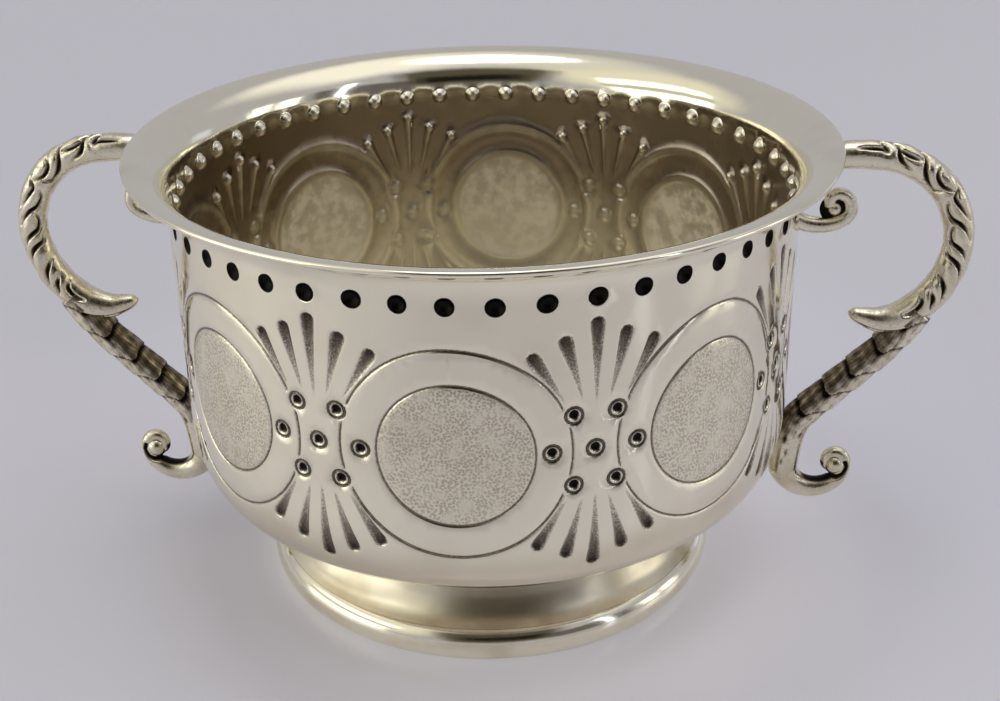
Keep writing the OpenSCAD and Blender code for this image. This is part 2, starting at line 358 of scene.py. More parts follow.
def flat_sixteenth(
    fill, line_rings, line_pitch, punch_rings, bead_rings, flute_rows, flute_columns, knob_rings=(),
):
    """Points and triangles of a sixteenth of the wall, laid out along its cuts, with
    a plain net of points, fill mm apart, between them."""
    chains = []
    for radius in roundel_lines:
        for off in line_rings:
            chain = []
            for p in ring_of_points(roundel, radius + off, line_pitch):
                if min(math.dist(p, q) for q in punches) > punch_radius + line_stop:
                    chain.append(p)
                else:
                    chains.append(chain)
                    chain = []
            chains.append(chain)
    for spot in punches:
        chains += [ring_of_points(spot, r, 0.34 * (0.4 + r)) for r in punch_rings]
        chains.append([spot])
    for spot in beads:
        chains += [ring_of_points(spot, bead_radius * r, 0.44) for r in bead_rings]
        chains.append([spot])
    for flute in flutes:
        side, lean, start, end = flute
        top = flute_top(flute)
        spot = (round(top[0], 9), top[1])
        chains += [ring_of_points(spot, r, 0.4) for r in knob_rings]
        for across in flute_columns:
            if lean == 0 and across > 0:
                continue
            chain = []
            for share in flute_rows:
                along = start + (end - start) * share
                off = across * float(flute_width(share))
                s = half - along * math.sin(lean) + off * math.cos(lean)
                z = middle_height + side * (along * math.cos(lean) + off * math.sin(lean))
                chain.append((min(round(s, 9), half), z))
            chains.append(chain)
    ends = [(half * k / columns, z) for z in (chased_low, chased_high) for k in range(columns + 1)]
    chains = [c for c in chains if c]
    taken = [p for c in chains for p in c]
    tree = KDTree(len(taken))
    for n, p in enumerate(taken):
        tree.insert((*p, 0), n)
    tree.balance()
    rows = round((chased_high - chased_low) / fill)
    for j in range(1, rows):
        z = chased_low + (chased_high - chased_low) * j / rows
        count = round(half / fill)
        for k in range(count + 1):
            s = min(max((k + 0.5 * (j % 2)) * half / count, 0), half)
            if tree.find((s, z, 0))[2] > 0.62 * fill:
                chains.append([(s, z)])
    chains += [[p] for p in ends]
    points, links = [], []
    for chain in chains:
        links += [(len(points) + k, len(points) + k + 1) for k in range(len(chain) - 1)]
        points += chain
    for border in (0.0, half):
        line = sorted((p[1], n) for n, p in enumerate(points) if p[0] == border)
        links += [(a[1], b[1]) for a, b in zip(line, line[1:])]
    for z in (chased_low, chased_high):
        line = sorted((p[0], n) for n, p in enumerate(points) if p[1] == z)
        links += [(a[1], b[1]) for a, b in zip(line, line[1:])]
    made = delaunay_2d_cdt([Vector(p) for p in points], links, [], 0, 1e-6)
    return np.array([tuple(p) for p in made[0]]), [tuple(f) for f in made[2]]


def outer_radius(z):
    """Radius of the plain bowl's outside at a height."""
    low = np.clip((z - floor_height) / corner_height, 0, 1)
    lift = np.clip((z - wall_top) / lip_rise, 0, 1)
    corner = (1 - (1 - low) ** corner_power) ** (1 / corner_power)
    flare = lip_run * (1 - np.sqrt(1 - lift ** 2))
    return flat_radius + (wall_radius - flat_radius) * corner + flare


turn = np.linspace(0, math.pi / 2, 61)
corner_line = np.c_[
    flat_radius + (wall_radius - flat_radius) * np.sin(turn) ** (2 / corner_power),
    floor_height + corner_height * (1 - np.cos(turn) ** (2 / corner_power)),
]
lip_line = np.c_[
    wall_radius + lip_run * (1 - np.cos(turn)),
    wall_top + lip_rise * np.sin(turn),
]
outside_line = np.vstack([corner_line, lip_line])
way = np.gradient(outside_line, axis=0)
way /= np.linalg.norm(way, axis=1)[:, None]
inside_line = outside_line + sheet * np.c_[-way[:, 1], way[:, 0]]


def inner_radius(z):
    """Radius of the plain bowl's inside at a height."""
    return np.interp(z, inside_line[:, 1], inside_line[:, 0])


def plain_rows(line, low, high, every):
    """Rows of a turned stretch of the sheet, thinned from a fine line."""
    kept = [tuple(p) for p in line if low + 0.05 < p[1] < high - 0.05]
    return kept[::every]


outside, outside_faces = flat_sixteenth(
    fill=0.95,
    line_rings=(-0.36, -0.2, -0.07, 0.07, 0.2, 0.36), line_pitch=0.72,
    punch_rings=(0.28, 0.5, 0.62, 0.72, 0.82, 0.92, 1.02, 1.15, 1.28, 1.4),
    bead_rings=(0.35, 0.68, 0.88, 0.95, 1.01, 1.08, 1.16, 1.3),
    flute_rows=(0.0, 0.1, 0.22, 0.36, 0.5, 0.64, 0.76, 0.86, 0.92, 0.96, 0.985, 1.0),
    flute_columns=(-1.18, -1.0, -0.84, -0.45, 0.0, 0.45, 0.84, 1.0, 1.18),
)
inside, inside_faces = flat_sixteenth(
    fill=1.1,
    line_rings=(-1.0, -0.66, -0.33, 0.0, 0.33, 0.66, 1.0), line_pitch=1.1,
    punch_rings=(0.5, 1.0, 1.4),
    bead_rings=(0.2, 0.4, 0.6, 0.78, 0.92, 1.06, 1.25),
    flute_rows=(0.0, 0.2, 0.4, 0.6, 0.75, 0.85),
    flute_columns=(-1.2, -0.85, -0.45, 0.0, 0.45, 0.85, 1.2),
    knob_rings=(0.3, 0.55, 0.75, 0.95),
)
outer_s, outer_z = outside.T
inner_s, inner_z = inside.T
depth, dark = chasing(outer_s, outer_z)
relief, _ = chasing(inner_s, inner_z, inside_swell)

lip_rows = (
    [(float(outer_radius(chased_high)), chased_high)]
    + plain_rows(lip_line, chased_high, cup_height, every=3)
    + on_arc((wall_radius + lip_run, cup_height - edge), (edge, edge), -90, 90, 8)[1:-1]
    + plain_rows(inside_line[::-1], chased_high, cup_height + sheet, every=3)
    + [(float(inner_radius(chased_high)), chased_high)]
)
under_rows = (
    [(r, floor_height) for r in floor_rings]
    + plain_rows(corner_line, 0, chased_low, every=3)
    + [(float(outer_radius(chased_low)), chased_low)]
)
floor_rows = (
    [(float(inner_radius(chased_low)), chased_low)]
    + plain_rows(inside_line[::-1], 0, chased_low, every=3)
    + [(r, floor_height + sheet) for r in reversed(floor_rings)]
)


def sheet_part(s, r, z, faces, dark, matt, within):
    """One face of the sixteenth. Outside, dark and matt mark the cuts and the matting;
    inside, the pale roundel, which also carries a painted glow, and the height of the relief."""
    return {"s": s, "r": r, "z": z, "faces": faces, "dark": dark, "matt": matt, "within": within}


def turned_part(rows, within):
    """A plain stretch of the sheet between the chased wall and the lip or floor."""
    rows = np.array(rows)
    s = np.tile(np.linspace(0, half, columns + 1), len(rows))
    r, z = np.repeat(rows[:, 0], columns + 1), np.repeat(rows[:, 1], columns + 1)
    faces = []
    for j in range(len(rows) - 1):
        for k in range(columns):
            a = j * (columns + 1) + k
            faces.append((a, a + 1, a + columns + 2, a + columns + 1))
    return sheet_part(s, r, z, faces, 0 * s, 0 * s, 0 * s + within)


matted = 1.0 * (away(outer_s, outer_z, roundel) < roundel_lines[1] - line_width)
pale_glowing_inside = np.interp(away(inner_s, inner_z, roundel), (8.6, 9.6), (1, 0))
below_lip = np.interp(inner_z, (58.2, 60.2), (1, 0))
inside_faces = [f[::-1] for f in inside_faces]
outer_r, inner_r = outer_radius(outer_z) - depth, inner_radius(inner_z) - relief
parts = [
    turned_part(under_rows, 0.0),
    sheet_part(outer_s, outer_r, outer_z, outside_faces, dark, matted, 0 * depth),
    turned_part(lip_rows, 0.0),
    sheet_part(inner_s, inner_r, inner_z, inside_faces, pale_glowing_inside, relief, below_lip),
    turned_part(floor_rows, 1.0),
]

# Where the marking-out strayed: degrees round from the front, then mm aside and
# up along the bead row, and mm aside along the punches.
strayed = np.array([
    (-180, 0.2, 0.0, -0.2), (-110, -0.8, 0.1, -0.4), (-60, -2.2, -0.6, -0.9), (-45, -1.6, -0.2, -0.8),
    (-30, -1.1, -0.1, -0.75), (-22, -0.95, 0.0, -0.6), (-14, -0.3, 0.2, -0.2), (0, -0.7, 0.0, 0.0),
    (10, -0.5, -0.1, 0.2), (22, 0.2, 0.3, 0.1), (38, 0.5, 0.7, 0.5), (50, 0.5, 0.9, 0.5),
    (65, 0.0, 0.2, 0.3), (120, 0.4, -0.2, 0.2), (180, 0.2, 0.0, -0.2),
]).T

# The sixteenths are raised one by one. Lip and floor stay true, the wall between
# these heights strays, and its upper part follows the beads.
free_heights, bead_side = (17, 22, 59.6, 62.5), (42, 55)
points, faces, marks, start = [], [], [], 0
for k in range(roundels):
    for flip in (1, -1):
        for part in parts:
            turn = 2 * math.pi * k / roundels - math.pi / 2 + flip * part["s"] / wall_radius
            z = part["z"]
            loose = np.interp(z, free_heights, (0, 1, 1, 0))
            high = np.interp(z, bead_side, (0, 1))
            front = (np.degrees(turn) + 270) % 360 - 180
            aside, up, low_aside = (np.interp(front, strayed[0], row) for row in strayed[1:])
            slip = loose * (high * aside + (1 - high) * low_aside) / wall_radius
            sink = loose * high * up
            waves = 0.05 * np.sin(3 * turn + 0.4) + 0.03 * np.sin(7 * turn + z / 6)
            waves = waves + 0.012 * np.sin(17 * turn - z / 2.4)
            r = part["r"] + loose * waves
            turn = turn + slip
            points.append(np.c_[r * np.cos(turn), r * np.sin(turn), z + sink] * MM)
            marks.append(np.c_[part["dark"], part["matt"], part["within"], flip * part["s"]])
            faces += [tuple(start + n for n in (f if flip > 0 else f[::-1])) for f in part["faces"]]
            start += len(z)


def made_of_points(name, points, faces, marks):
    """A mesh object from worked-out points, with named values stored on them."""
    mesh = bpy.data.meshes.new(name)
    mesh.from_pydata(np.vstack(points).tolist(), [], faces)
    for mark, values in marks.items():
        stored = mesh.attributes.new(mark, "FLOAT", "POINT")
        stored.data.foreach_set("value", np.asarray(values, np.float32))
    piece = bpy.data.objects.new(name, mesh)
    bpy.context.scene.collection.objects.link(piece)
    bpy.ops.object.select_all(action="DESELECT")
    bpy.context.view_layer.objects.active = piece
    piece.select_set(True)
    bpy.ops.object.mode_set(mode="EDIT")
    bpy.ops.mesh.select_all(action="SELECT")
    bpy.ops.mesh.remove_doubles(threshold=2e-6)
    bpy.ops.mesh.normals_make_consistent(inside=False)
    bpy.ops.object.mode_set(mode="OBJECT")
    bpy.ops.object.shade_smooth()
    return piece


marks = np.vstack(marks)
cup_bowl = made_of_points(
    "chased_bowl", points, faces,
    {"dark": marks[:, 0], "matt": marks[:, 1], "within": marks[:, 2], "across": marks[:, 3]},
)

chased_silver, wire, place = finish("chased_silver")
dark_value = wire.node("ShaderNodeAttribute", {"attribute_name": "dark"}, output="Fac")
raised = wire.node("ShaderNodeAttribute", {"attribute_name": "matt"}, output="Fac")
within = wire.node("ShaderNodeAttribute", {"attribute_name": "within"}, output="Fac")
across = wire.node("ShaderNodeAttribute", {"attribute_name": "across"}, output="Fac")
to_right = place.node("ShaderNodeSeparateXYZ", {}, {0: place}, 0)
high_up = place.node("ShaderNodeSeparateXYZ", {}, {0: place}, 2)
on_sheet = wire.node("ShaderNodeCombineXYZ", {}, {0: across * MM, 1: high_up})
handling = place.noise(0.09, 3)
scratches = place.stretched(1, 1, 4).noise(1.2, 2)
grit = place.noise(5.5, 2)
stipple = wire.node(
    "ShaderNodeTexVoronoi", {"voronoi_dimensions": "2D"},
    {"Vector": on_sheet, "Scale": 2.6 / MM, "Randomness": 1.0},
)
stain = place.noise(0.5, 3)
without = 1 - within
matting = raised * without
pits = (1 - stipple.between(0.08, 0.64)) * matting * stain.between(0.2, 0.62)
cuts = without * dark_value * (1 - grit.between(0.4, 0.68) * (1 - dark_value) * 1.3)
# The inside roundels are paler and rougher; they also glow as painted light, below.
pale_glowing_round = within * dark_value * (0.5 + stain.between(0.35, 0.65) * 0.5)
# The inside is browned in patches, more so higher up the wall, over the low floor and towards the left,
# and less on the raised relief.
inside_browning = within * (
    0.16 + high_up.between(28 * MM, 50 * MM) * 0.76 + handling.between(0.3, 0.7) * 0.2
    + stain.between(0.4, 0.7) * 0.12 - raised * 0.85 + (1 - high_up.between(15 * MM, 20 * MM)) * 0.2
)
# Patchy dull silver from handling, and painted shade on the lower belly below 18 to 28 mm, where it
# mirrors the shaded table round the foot.
dull_patches_and_low_shade = handling.between(0.4, 0.8) * 0.45 + (1 - high_up.between(18 * MM, 28 * MM)) * 0.85
outer_colour = dull_patches_and_low_shade.between(0.0, 1.0).tint(SILVER, DULL_SILVER)
brown = (1 - to_right.between(-44 * MM, -16 * MM)).tint((0.33, 0.275, 0.215, 1), (0.2, 0.15, 0.1, 1))
browned = inside_browning.tint(outer_colour, brown)
inner_colour = (pale_glowing_round * 0.9).tint(browned, (0.96, 0.9, 0.74, 1))
# Painted light: the lower inside and the inside roundels glow, standing in for light thrown up into the
# bowl.
painted_glow = within * (1 - high_up.between(26 * MM, 46 * MM)) * 0.35 + pale_glowing_round * 0.65
dotted = (pits * 0.54 + matting * 0.05).tint(inner_colour, (0.24, 0.17, 0.1, 1))
worked = cuts.between(0.06, 0.8).tint(dotted, (0.15, 0.125, 0.095, 1))
rubbed = 0.1 + handling.between(0.4, 0.8) * 0.06
surface(
    wire,
    colour=cuts.between(0.72, 1.0).tint(worked, DARK),
    roughness=rubbed + matting * 0.22 + cuts * 0.2 + within * 0.18 + pale_glowing_round * 0.35,
    height=handling * 0.2 + scratches * 0.003 - pits * 0.05 + grit * cuts * 0.03,
    lift=0.6,
    glow=painted_glow.tint((0, 0, 0, 1), (0.095, 0.09, 0.064, 1)),
)
cup_bowl.data.materials.append(chased_silver)
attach(cup_bowl, "root")
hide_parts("cup_bowl")


# Leaf arms: the upper half of each cast handle, soldered under the lip. A plain
# stalk runs round the inside of the finger loop, wavy leaves are cut into the
# rest, and the end is a free blunt leaf. One is carved, the other mirrored.

rim_radius = wall_radius + lip_reach
loop_radius, arm_run = 12.3, 4.6
arm_root, arm_swell, arm_out = 1.75, 2.2, 0.3
arm_height = cup_height - sheet - solder_gap - arm_root
loop_x, loop_z = rim_radius + arm_run, arm_height - loop_radius
low_radius, leaf_angle = loop_radius + 1, -60
leaf_length, leaf_sag = 7.3, 0.9
arm_pitch, arm_sides = 0.15, 80


def loop_point(angle, out=0.0):
    """A place on the finger loop, 0 at its outermost, or some way out from there."""
    turn = math.radians(angle)
    if angle >= 0:
        reach = loop_radius + out
        return loop_x + reach * math.cos(turn), loop_z + reach * math.sin(turn)
    reach = low_radius + out
    low_x = loop_x + loop_radius - low_radius
    return low_x + reach * math.cos(turn), loop_z + reach * math.sin(turn)


def evenly(line, pitch):
    """The same curve with points a pitch apart, and each one's distance along it."""
    run = np.r_[0, np.cumsum(np.linalg.norm(np.diff(line[:, :2], axis=0), axis=1))]
    at = np.linspace(0, run[-1], round(run[-1] / pitch) + 1)
    return np.column_stack([np.interp(at, run, line[:, k]) for k in range(3)]), at


def swept(line, sides):
    """Along a line of (x, z, radius): the way out at each row, and the angles round it."""
    way = np.gradient(line[:, :2], axis=0)
    way /= np.linalg.norm(way, axis=1)[:, None]
    return np.c_[-way[:, 1], way[:, 0]], np.radians(np.arange(sides) * 360 / sides)


def bar(line, sides, proud):
    """Points and faces of a bar along a line, its skin moved out by proud, row by row."""
    outward, turn = swept(line, sides)
    reach = line[:, 2:3] + proud
    x = line[:, 0:1] + outward[:, 0:1] * reach * np.cos(turn)
    z = line[:, 1:2] + outward[:, 1:2] * reach * np.cos(turn)
    y = reach * np.sin(turn)
    points = np.stack([x, y, z], axis=-1).reshape(-1, 3)
    rows = len(line)
    faces = []
    for j in range(rows - 1):
        for k in range(sides):
            n = (k + 1) % sides
            faces.append((j * sides + k, j * sides + n, (j + 1) * sides + n, (j + 1) * sides + k))
    ends = [[line[0, 0], 0, line[0, 1]], [line[-1, 0], 0, line[-1, 1]]]
    first, last = rows * sides, rows * sides + 1
    faces += [(first, (k + 1) % sides, k) for k in range(sides)]
    end_row = (rows - 1) * sides
    faces += [(last, end_row + k, end_row + (k + 1) % sides) for k in range(sides)]
    return np.vstack([points, ends]), faces


def clear_of_bowl(points):
    """Points filed back to the outside of the bowl where they would reach into it."""
    points = points.copy()
    r = np.hypot(points[:, 0], points[:, 1])
    short = np.clip(1 - (r - wall_radius) / lip_run, 0, 1)
    under_lip = wall_top + lip_rise * np.sqrt(np.clip(1 - short ** 2, 0, 1))
    low = (r < rim_radius) & (points[:, 2] > under_lip - solder_gap) & (points[:, 2] > wall_top)
    points[low, 2] = under_lip[low] - solder_gap
    need = outer_radius(np.clip(points[:, 2], floor_height, wall_top)) + solder_gap
    close = (r < need) & (points[:, 2] > floor_height)
    points[close, :2] *= (need[close] / r[close])[:, None]
    return points


def arm_thick(angle):
    """Radius of the arm at an angle of the loop: it swells evenly, and is plump on top."""
    plump = float(np.interp(angle, (-60, 0, 45, 90), (0.1, 0.05, 0.2, 0.3)))
    return arm_root + (arm_swell - arm_root) * (90 - angle) / (90 - leaf_angle) + plump


leaf_x, leaf_z = loop_point(leaf_angle)
arm_line = smooth(
    [
        (wall_radius + sheet, arm_height - 1.8, 0.9),
        (wall_radius + 3, arm_height - 0.3, 1.5),
        (rim_radius, arm_height + 0.2, arm_root + 0.2),
    ]
    + [(*loop_point(a, arm_out), arm_thick(a)) for a in range(90, leaf_angle - 1, -15)]
    + [
        (leaf_x - 0.4 * leaf_length, leaf_z - leaf_sag, 0.85 * arm_swell),
        (leaf_x - 0.73 * leaf_length, leaf_z - leaf_sag / 2, 0.62 * arm_swell),
        (leaf_x - 0.93 * leaf_length, leaf_z - 0.02, 0.4 * arm_swell),
        (leaf_x - 1.02 * leaf_length, leaf_z + 0.12, 0.2),
    ],
    steps=12,
)
arm_line, arm_at = evenly(arm_line, arm_pitch)

# Each cut is a chain of places: mm along the arm, degrees round it from outside.
leaf_cuts = [
    [(7.4, 45), (8.9, 44), (10.4, 46), (11.2, 62)],
    [(10.2, 6), (11.0, 36), (11.3, 62)],
    [(11.7, 4), (12.6, 28), (12.9, 70), (13.6, 95), (14.9, 110)],
    [(12.8, 34), (13.8, 52), (15.6, 54)],
    [(15.2, 4), (16.2, 32), (16.9, 86), (18.4, 126), (20.0, 130), (20.9, 100)],
    [(18.3, 34), (18.8, 74), (20.3, 88), (21.7, 64)],
    [(21.9, 36), (22.8, 74), (24.3, 66), (26.4, 40)],
    [(22.7, 108), (23.9, 130), (25.5, 121), (26.6, 89), (27.8, 62), (29.0, 46)],
    [(26.7, 113), (27.9, 139), (29.4, 131), (30.1, 102), (31.0, 66), (32.3, 38)],
    [(30.4, 152), (31.6, 140), (32.2, 105), (33.1, 67), (34.4, 44), (35.5, 30)],
    [(35.0, 140), (36.1, 102), (37.0, 77), (38.4, 54)],
    [(38.1, 120), (38.9, 87), (40.0, 68)],
    [(39.7, 138), (40.4, 112), (42.0, 103), (43.6, 112)],
    [(39.6, 44), (43.0, 46), (46.0, 44), (48.5, 50)],
]


def skin(line, at, sides):
    """For each point of a bar's skin: mm along the bar, and degrees round it from outside."""
    turn = swept(line, sides)[1]
    round_it = np.abs((np.degrees(turn) + 180) % 360 - 180)
    return np.meshgrid(at, round_it, indexing="ij")


at_grid, round_grid = skin(arm_line, arm_at, arm_sides)
groove = np.zeros_like(at_grid)
clear = np.full_like(at_grid, 9.0)
for cut in leaf_cuts:
    chain = smooth(cut, steps=8)
    gap = np.full(at_grid.shape, 99.0)
    share = np.zeros_like(gap)
    for k, (at, degrees) in enumerate(chain):
        far = np.hypot(at_grid - at, arm_swell * np.radians(round_grid - degrees))
        share = np.where(far < gap, k / (len(chain) - 1), share)
        gap = np.minimum(gap, far)
    taper = np.sin(np.pi * np.clip(share, 0.03, 0.97)) ** 0.45
    groove = np.maximum(groove, taper * dish(gap / (0.14 + 0.3 * taper)))
    clear = np.minimum(clear, gap - 0.3 * taper)

# The leaves swell between the cuts. The free leaf has a bright rim round a scooped
# face, and everything fades out at its tip.
carved = np.interp(at_grid, (8, 11, 40, 44), (0, 1, 1, 0))
lobes = carved * (0.22 * (1 - np.exp(-(np.clip(clear, 0, None) / 0.85) ** 2)) - 0.12)
leaf = np.interp(at_grid, (41.5, 44.5), (0, 1))
rim = leaf * np.exp(-(arm_line[:, 2:3] * np.radians(round_grid - 66) / 0.26) ** 2)
face = leaf * np.exp(-((round_grid - 112) / 30) ** 2)
scooped = face * np.interp(at_grid, (46, 49), (1, 0))
leaf_thin = np.interp(arm_at, (46.5, 50.2), (1, 0.1))[:, None]
proud = leaf_thin * (lobes + 0.12 * rim - 0.13 * scooped - 0.6 * groove ** 0.8)
proud = np.maximum(proud, -0.8 * arm_line[:, 2:3] + 0.05)
arm_points, arm_faces = bar(arm_line, arm_sides, proud)
arm_points = clear_of_bowl(arm_points)
beside_cuts = carved * np.exp(-(np.clip(clear, 0, None) / 0.5) ** 2)
arm_dark = 0.16 * beside_cuts + 0.08 * leaf + 0.18 * face - 0.2 * rim
arm_dark = np.clip(np.maximum(arm_dark, 1.5 * groove - 0.35), 0, 1)
arm_dark = np.r_[arm_dark.ravel(), 0, 0]
right_leaf_arm = made_of_points(
    "right_carved_arm", [arm_points * MM], arm_faces, {"dark": arm_dark},
)

carved_silver, wire, place = finish("carved_silver")
dark_value = wire.node("ShaderNodeAttribute", {"attribute_name": "dark"}, output="Fac")
handling = place.noise(0.25, 4)
casting = place.noise(1.7, 3)
specks = place.noise(3.4, 2)
# The dark value is patina in the cuts, pits and blotches, and on the stems and scrolls also painted
# shade: their upper inner side, under the husk edges, in the gaps round the balls, and the black web.
patina_and_shade = dark_value + casting.between(0.5, 0.75) * 0.12 + specks.between(0.62, 0.75) * 0.25
bare = handling.between(0.4, 0.75).tint((0.83, 0.775, 0.62, 1), (0.68, 0.615, 0.45, 1))
browned = patina_and_shade.between(0.12, 0.62).tint(bare, (0.2, 0.16, 0.11, 1))
surface(
    wire,
    colour=patina_and_shade.between(0.5, 0.95).tint(browned, DARK),
    roughness=0.19 + casting.between(0.4, 0.7) * 0.1 + patina_and_shade.between(0.1, 0.8) * 0.24,
    height=casting * 0.035 + handling * 0.15 - specks.between(0.55, 0.75) * 0.02,
    lift=0.5,
)
right_leaf_arm.data.materials.append(carved_silver)


def other_side(piece, name):
    """The same piece for the left handle, mirrored across the cup, with its own mesh."""
    twin = bpy.data.objects.new(name, piece.data.copy())
    twin.data.name = name
    bpy.context.scene.collection.objects.link(twin)
    twin.data.transform(Matrix.Scale(-1, 4, (1, 0, 0)))
    twin.data.flip_normals()
    return twin


left_leaf_arm = other_side(right_leaf_arm, "left_carved_arm")
for piece, node in ((right_leaf_arm, "right_leaf_arm"), (left_leaf_arm, "left_leaf_arm")):
    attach(piece, "root")
    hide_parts(node)


# Scaled stems: the lower half of each cast handle. It springs from under the
# leaf, is cut like overlapping husks, is filed flat and soldered to the wall,
# and ends in a plain scroll round a ball.

stem_radius, seat_height, seat_flat = 2.3, 21.0, 0.4
volute_height, volute_reach, volute_ball = 13.9, 8.4, 1.6
curl_tall = 1.12
stem_start, stem_drop, stem_bow = -46, 1.2, 0.8
stem_pitch, stem_sides = 0.16, 72
stem_x, stem_z = loop_point(stem_start)
stem_z -= stem_drop
seat_x = wall_radius + stem_radius - seat_flat
volute = (wall_radius + volute_reach, volute_height)


def scroll_line(ball, root, drop, curl, thick, thin):
    """A shallow bend out from a root, then a curl in over a ball, as (x, z, radius).
    The curl is rows of degrees and distance from the ball."""
    out = ball[0] + curl[0][1]
    under = on_arc(((root + out) / 2, ball[1]), ((out - root) / 2, drop), 180, 360, 9)
    over = []
    for degrees, reach in curl[1:]:
        turn = math.radians(degrees)
        over.append((ball[0] + reach * math.cos(turn), ball[1] + curl_tall * reach * math.sin(turn)))
    line = under + over
    fade = np.linspace(1, 0, len(line)) ** 1.5
    return [(x, z, thin + (thick - thin) * f) for (x, z), f in zip(line, fade.tolist())]


def toward_seat(share, out=0.0):
    """A place on the stem, some share of the way to its seat, bowed out a little."""
    x = stem_x + (seat_x - stem_x) * share + out
    return x, stem_z + (seat_height - stem_z) * share - out, stem_radius


volute_curl = ((0, 1.3), (35, 1.5), (70, 1.7), (105, 1.75), (140, 1.6), (175, 1.25), (215, 0.8))
stem_line = smooth(
    [toward_seat(0), toward_seat(0.3, stem_bow / 2), toward_seat(0.75), toward_seat(1)]
    + scroll_line(
        volute, root=wall_radius + 0.7, drop=4.1, curl=volute_curl,
        thick=0.95 * stem_radius, thin=0.8,
    ),
    steps=12,
)
stem_line, stem_at = evenly(stem_line, stem_pitch)
at_grid, round_grid = skin(stem_line, stem_at, stem_sides)

# Each husk starts low and rises to its edge, which hangs over the start of the next.
husk_edge = np.interp(
    round_grid, (0, 60, 84, 96, 118, 145, 180), (-3.1, -1.9, -0.9, 0.5, 0.6, 0.1, 0.0),
)
husk_starts = (-3.4, 2.2, 7.4, 12.7, 17.3, 22.1, 26.6)
fall = np.zeros_like(at_grid)
shadow = np.zeros_like(at_grid)
for low, high in zip(husk_starts, husk_starts[1:]):
    share = (at_grid - low - husk_edge) / (high - low)
    on = (share >= 0) & (share < 1)
    fall = np.where(on, -0.24 + 0.34 * np.clip(share * 1.15, 0, 1) ** 0.6, fall)
    shadow = np.where(on, np.clip(1 - share * 5, 0, 1), shadow)
way_round = np.radians(round_grid)
coming_and_going = 0.6 + 0.4 * np.sin(at_grid * 1.7 + way_round * 3)
ribs = 0.04 * np.sin(way_round * 13 + 1.6 * np.sin(at_grid * 0.9)) * coming_and_going
ribs = ribs + 0.026 * np.sin(way_round * 29 + at_grid * 0.7 + 2.1 * np.sin(at_grid * 1.3))
plain = np.interp(at_grid, (25.5, 29.5), (1, 0))
proud = np.minimum(plain * (fall + ribs), 0.1)
notch = np.exp(-(((round_grid - 104) / 16) ** 2)) * shadow
proud = proud - 0.2 * plain * notch
stem_points, stem_faces = bar(stem_line, stem_sides, proud)
stem_points = clear_of_bowl(stem_points)
# Painted shade: the upper inner side of the stem, facing the cup, is darker, and so are the shadows
# under each husk edge and its notch.
painted_shade_side = np.interp(round_grid, (70, 115), (0.18, 0.55))
blotch = np.sin(at_grid * 2.3 + way_round * 5) * np.sin(at_grid * 1.1 - way_round * 4 + 0.6)
stem_dark = plain * (painted_shade_side + 0.6 * shadow + 0.5 * notch - 2.6 * ribs + 0.14 * blotch)
for at, degrees in ((27.4, 112), (29.6, 96), (31.2, 108), (26.2, 60)):
    off = ((at_grid - at) / 0.7) ** 2 + ((round_grid - degrees) / 7) ** 2
    stem_dark = stem_dark + 0.6 * np.exp(-off)
stem_dark = np.r_[np.clip(stem_dark, 0, 1).ravel(), 0, 0]


def curl_gap(points, dark, ball, chain, wide, sunk):
    """Sinks a narrow gap along a chain of (x, z) places from a scroll's ball and darkens it with
    painted shade.
    """
    gap = np.full(len(points), 99.0)
    for x, z in smooth(chain, steps=10):
        gap = np.minimum(gap, np.hypot(points[:, 0] - ball[0] - x, points[:, 2] - ball[1] - z))
    shaded_gap = np.clip(1.5 * (1 - gap / wide), 0, 1)
    points = points.copy()
    points[:, 1] *= 1 - sunk * shaded_gap
    return points, np.maximum(dark, shaded_gap)


def with_ball(points, faces, dark, ball, radius, deep=1.0, shade=0.0):
    """Adds the round ball that a scroll curls over, or the thin black web of painted shade behind it.
    """
    bpy.ops.object.select_all(action="DESELECT")
    bpy.ops.mesh.primitive_uv_sphere_add(segments=40, ring_count=24, radius=radius)
    made = bpy.context.object
    more_points = np.array([v.co for v in made.data.vertices]) * (1, deep, 1)
    more_points = more_points + np.array([ball[0], 0, ball[1]])
    more = [tuple(n + len(points) for n in f.vertices) for f in made.data.polygons]
    bpy.data.meshes.remove(made.data)
    shades = np.full(len(more_points), shade)
    return np.vstack([points, more_points]), faces + more, np.r_[dark, shades]


# Painted shade in the gaps round the volute's ball: beside the ball, along the upper inside of the bend
# and under the curl.
beside_ball = [(-0.6, -1.85), (0.35, -1.8), (1.25, -1.3), (1.75, -0.2), (1.5, 0.6)]
in_bend = [(-4.7, -1.3), (-4.1, -2.1), (-3.0, -2.45), (-2.0, -2.4), (-1.0, -2.0), (-0.3, -1.7)]
under_curl = [(-2.1, 0.3), (-2.1, -0.4), (-1.6, -1.1)]
for chain, wide, sunk in ((beside_ball, 0.5, 0.45), (in_bend, 0.62, 0.0), (under_curl, 0.6, 0.0)):
    stem_points, stem_dark = curl_gap(stem_points, stem_dark, volute, chain, wide, sunk)
stem_points, stem_faces, stem_dark = with_ball(
    stem_points, stem_faces, stem_dark, volute, volute_ball, deep=0.98,
)
right_scaled_stem = made_of_points(
    "right_carved_stem", [stem_points * MM], stem_faces, {"dark": stem_dark},
)
right_scaled_stem.data.materials.append(carved_silver)
left_scaled_stem = other_side(right_scaled_stem, "left_carved_stem")
for piece, node in ((right_scaled_stem, "right_scaled_stem"), (left_scaled_stem, "left_scaled_stem")):
    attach(piece, "root")
    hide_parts(node)
